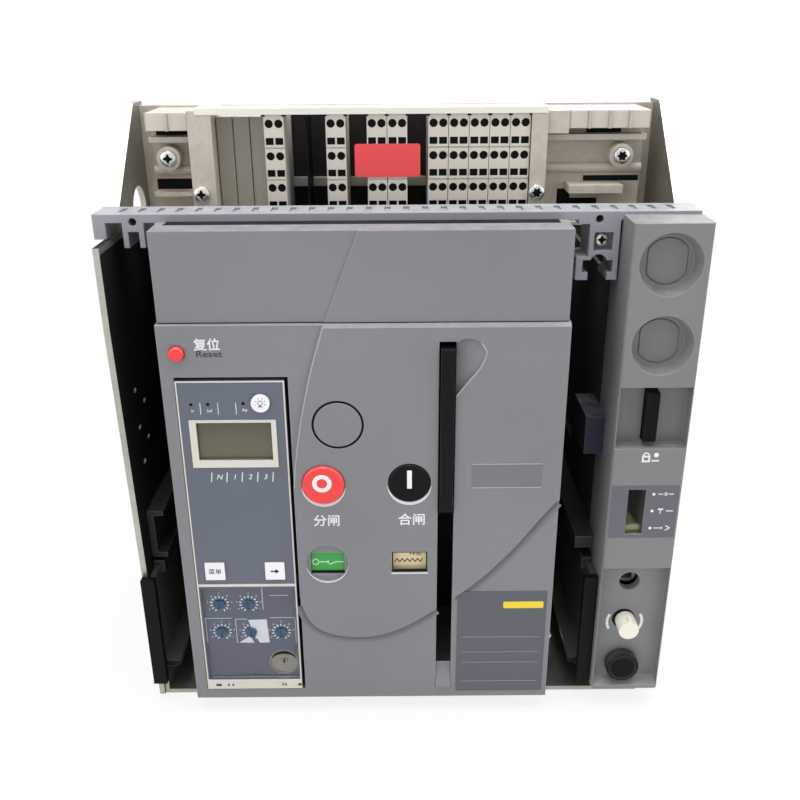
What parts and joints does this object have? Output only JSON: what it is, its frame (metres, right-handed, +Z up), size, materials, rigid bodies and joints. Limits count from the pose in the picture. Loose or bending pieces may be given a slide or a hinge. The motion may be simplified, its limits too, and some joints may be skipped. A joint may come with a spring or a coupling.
{
  "type": "drawout air circuit breaker",
  "caption": "Withdrawable three-pole low-voltage air circuit breaker in its steel chassis, with trip unit, charging handle, racking tower and terminal row.",
  "frame": {"origin": "centre of the four base bolts, on the underside of the chassis", "axes": "+Z up, -Y towards the operator's front, +X to the right as seen from the front"},
  "size_m": [0.2892, 0.279, 0.322],
  "materials": {
    "zinc_steel": "zinc plated sheet, satin",
    "black_steel": "black coated sheet, satin",
    "bare_steel": "machined steel",
    "black_plastic": "fine textured moulding",
    "charcoal_plastic": "fine textured moulding",
    "beige_plastic": "satin moulding",
    "blue_grey_plastic": "satin moulding",
    "grey_plastic": "satin moulding",
    "thermoset": "moulded thermoset",
    "copper": "silver flashed copper",
    "red_plastic": "gloss moulding",
    "green_plastic": "gloss moulding",
    "ivory_plastic": "satin moulding",
    "white_plastic": "printed plate",
    "clear_plastic": "clear polycarbonate",
    "sheet_steel": "steel sheet"
  },
  "bodies": {
    "chassis": {"base_plate": "zinc_steel", "left_side_plate": "black_steel", "right_side_plate": "zinc_steel", "inner_wall": "zinc_steel", "rail_guides": "zinc_steel", "rear_moulding": "thermoset", "rear_connectors": "copper", "disconnect_clusters": "copper", "top_crosspiece": "charcoal_plastic", "tower_housing": "charcoal_plastic", "lock_blanks": "black_plastic", "keying_block": "blue_grey_plastic", "terminal_support": "beige_plastic", "terminal_blocks": "grey_plastic", "frame_screws": "bare_steel"},
    "left_rail": {"left_rail": "zinc_steel"},
    "right_rail": {"right_rail": "zinc_steel"},
    "padlock_tab": {"padlock_tab": "black_plastic"},
    "position_indicator": {"position_indicator": "white_plastic"},
    "release_knob": {"release_knob": "ivory_plastic"},
    "racking_handle": {"racking_handle": "bare_steel"},
    "racking_screw": {"racking_screw": "bare_steel"},
    "racking_carriage": {"racking_carriage": "bare_steel"},
    "upper_shutter": {"upper_shutter": "grey_plastic"},
    "lower_shutter": {"lower_shutter": "grey_plastic"},
    "breaker": {"pole_housing": "thermoset", "carrying_feet": "bare_steel", "front_case": "charcoal_plastic", "upper_cover": "charcoal_plastic", "lower_cover": "charcoal_plastic", "arc_chutes": "thermoset", "arc_chute_plates": "sheet_steel", "upper_contacts": "copper", "lower_contacts": "copper", "current_transformers": "black_plastic", "mechanism_frame": "zinc_steel", "closing_spring": "bare_steel", "charging_motor": "grey_plastic", "release_coils": "black_plastic", "trip_unit": "blue_grey_plastic"},
    "contact_arms": {"contact_arms": "copper"},
    "pole_shaft": {"pole_shaft": "bare_steel"},
    "drive_links": {"drive_links": "bare_steel"},
    "cam_shaft": {"cam_shaft": "bare_steel"},
    "charging_handle": {"charging_handle": "black_plastic"},
    "off_button": {"off_button": "red_plastic"},
    "on_button": {"on_button": "black_plastic"},
    "reset_button": {"reset_button": "red_plastic"},
    "trip_shaft": {"trip_shaft": "bare_steel"},
    "contact_flag": {"contact_flag": "green_plastic"},
    "spring_flag": {"spring_flag": "white_plastic"},
    "setting_cover": {"setting_cover": "clear_plastic"},
    "left_key": {"left_key": "blue_grey_plastic"},
    "right_key": {"right_key": "blue_grey_plastic"},
    "lamp_button": {"lamp_button": "black_plastic"},
    "dial_1": {"dial_1": "black_plastic"},
    "dial_2": {"dial_2": "black_plastic"},
    "dial_3": {"dial_3": "black_plastic"},
    "dial_4": {"dial_4": "black_plastic"},
    "dial_5": {"dial_5": "black_plastic"}
  },
  "joints": [
    {"name": "racking_slide", "type": "slide", "parent": "chassis", "child": "racking_carriage", "axis": [0, -1, 0], "range_m": [0, 0.045]},
    {"name": "withdraw_slide", "type": "slide", "parent": "racking_carriage", "child": "breaker", "axis": [0, -1, 0], "range_m": [0, 0.2]},
    {"name": "racking_screw_turn", "type": "hinge", "parent": "chassis", "child": "racking_screw", "pos_m": [0.1245, -0.04, 0.0803], "axis": [0, 1, 0], "range_deg": [0, 1621]},
    {"name": "position_slide", "type": "slide", "parent": "chassis", "child": "position_indicator", "axis": [0, 0, 1], "range_m": [0, 0.018]},
    {"name": "upper_shutter_slide", "type": "slide", "parent": "chassis", "child": "upper_shutter", "axis": [0, 0, -1], "range_m": [0, 0.04]},
    {"name": "lower_shutter_slide", "type": "slide", "parent": "chassis", "child": "lower_shutter", "axis": [0, 0, 1], "range_m": [0, 0.04]},
    {"name": "left_rail_slide", "type": "slide", "parent": "chassis", "child": "left_rail", "axis": [0, -1, 0], "range_m": [0, 0.15]},
    {"name": "right_rail_slide", "type": "slide", "parent": "chassis", "child": "right_rail", "axis": [0, -1, 0], "range_m": [0, 0.15]},
    {"name": "padlock_tab_slide", "type": "slide", "parent": "chassis", "child": "padlock_tab", "axis": [0, -1, 0], "range_m": [0, 0.015]},
    {"name": "release_knob_push", "type": "slide", "parent": "chassis", "child": "release_knob", "axis": [0, 1, 0], "range_m": [0, 0.006], "stiffness_N_per_m": 500, "springref_m": -0.003},
    {"name": "racking_handle_slide", "type": "slide", "parent": "chassis", "child": "racking_handle", "axis": [0, -1, 0], "range_m": [0, 0.17]},
    {"name": "charging_handle_swing", "type": "hinge", "parent": "breaker", "child": "charging_handle", "pos_m": [0.0238, -0.106, 0.118], "axis": [1, 0, 0], "range_deg": [0, 95], "stiffness_Nm_per_rad": 0.3, "springref_deg": -17.19},
    {"name": "trip_shaft_turn", "type": "hinge", "parent": "breaker", "child": "trip_shaft", "pos_m": [-0.01635, -0.096, 0.172], "axis": [1, 0, 0], "range_deg": [0, 8], "stiffness_Nm_per_rad": 1, "springref_deg": -5.73},
    {"name": "off_button_push", "type": "slide", "parent": "breaker", "child": "off_button", "axis": [0, 1, 0], "range_m": [0, 0.004]},
    {"name": "on_button_push", "type": "slide", "parent": "breaker", "child": "on_button", "axis": [0, 1, 0], "range_m": [0, 0.004], "stiffness_N_per_m": 500, "springref_m": -0.003},
    {"name": "reset_button_push", "type": "slide", "parent": "breaker", "child": "reset_button", "axis": [0, 1, 0], "range_m": [0, 0.003], "stiffness_N_per_m": 500, "springref_m": -0.003},
    {"name": "pole_shaft_turn", "type": "hinge", "parent": "breaker", "child": "pole_shaft", "pos_m": [-0.01635, -0.04, 0.126], "axis": [1, 0, 0], "range_deg": [0, 41.8], "stiffness_Nm_per_rad": 6, "springref_deg": -17.19},
    {"name": "contact_arms_turn", "type": "hinge", "parent": "breaker", "child": "contact_arms", "pos_m": [-0.01635, -0.002, 0.09], "axis": [-1, 0, 0], "range_deg": [0, 20]},
    {"name": "drive_links_turn", "type": "hinge", "parent": "pole_shaft", "child": "drive_links", "pos_m": [-0.01635, -0.02302, 0.11544], "axis": [1, 0, 0], "range_deg": [-93.6, 0]},
    {"name": "contact_flag_slide", "type": "slide", "parent": "breaker", "child": "contact_flag", "axis": [0, 0, 1], "range_m": [0, 0.015]},
    {"name": "cam_shaft_turn", "type": "hinge", "parent": "breaker", "child": "cam_shaft", "pos_m": [-0.01635, -0.078, 0.12], "axis": [1, 0, 0], "range_deg": [0, 160]},
    {"name": "spring_flag_slide", "type": "slide", "parent": "breaker", "child": "spring_flag", "axis": [0, 0, 1], "range_m": [0, 0.014]},
    {"name": "setting_cover_swing", "type": "hinge", "parent": "breaker", "child": "setting_cover", "pos_m": [-0.0814, -0.1374, 0.0242], "axis": [1, 0, 0], "range_deg": [0, 100]},
    {"name": "left_key_push", "type": "slide", "parent": "breaker", "child": "left_key", "axis": [0, 1, 0], "range_m": [0, 0.0008], "stiffness_N_per_m": 300, "springref_m": -0.002},
    {"name": "right_key_push", "type": "slide", "parent": "breaker", "child": "right_key", "axis": [0, 1, 0], "range_m": [0, 0.0008], "stiffness_N_per_m": 300, "springref_m": -0.002},
    {"name": "lamp_button_push", "type": "slide", "parent": "breaker", "child": "lamp_button", "axis": [0, 1, 0], "range_m": [0, 0.001], "stiffness_N_per_m": 300, "springref_m": -0.002},
    {"name": "dial_1_turn", "type": "hinge", "parent": "breaker", "child": "dial_1", "pos_m": [-0.0973, -0.1385, 0.0711], "axis": [0, 1, 0], "range_deg": [-135, 135]},
    {"name": "dial_2_turn", "type": "hinge", "parent": "breaker", "child": "dial_2", "pos_m": [-0.0816, -0.1385, 0.0711], "axis": [0, 1, 0], "range_deg": [-135, 135]},
    {"name": "dial_3_turn", "type": "hinge", "parent": "breaker", "child": "dial_3", "pos_m": [-0.0973, -0.1385, 0.0529], "axis": [0, 1, 0], "range_deg": [-135, 135]},
    {"name": "dial_4_turn", "type": "hinge", "parent": "breaker", "child": "dial_4", "pos_m": [-0.0812, -0.1385, 0.0528], "axis": [0, 1, 0], "range_deg": [-135, 135]},
    {"name": "dial_5_turn", "type": "hinge", "parent": "breaker", "child": "dial_5", "pos_m": [-0.065, -0.1385, 0.0526], "axis": [0, 1, 0], "range_deg": [-135, 135]}
  ],
  "couplings": [
    {"joint": "racking_screw_turn", "follows": "racking_slide", "rad_per_m": 628.3},
    {"joint": "position_slide", "follows": "racking_slide", "ratio": 0.4},
    {"joint": "upper_shutter_slide", "follows": "racking_slide", "ratio": 0.8888},
    {"joint": "lower_shutter_slide", "follows": "racking_slide", "ratio": 0.8888},
    {"joint": "off_button_push", "follows": "trip_shaft_turn", "m_per_rad": 0.0273},
    {"joint": "contact_arms_turn", "follows": "pole_shaft_turn", "ratio": 0.47845},
    {"joint": "drive_links_turn", "follows": "pole_shaft_turn", "ratio": -2.2387},
    {"joint": "contact_flag_slide", "follows": "pole_shaft_turn", "m_per_rad": 0.0205},
    {"joint": "spring_flag_slide", "follows": "cam_shaft_turn", "m_per_rad": 0.005}
  ]
}
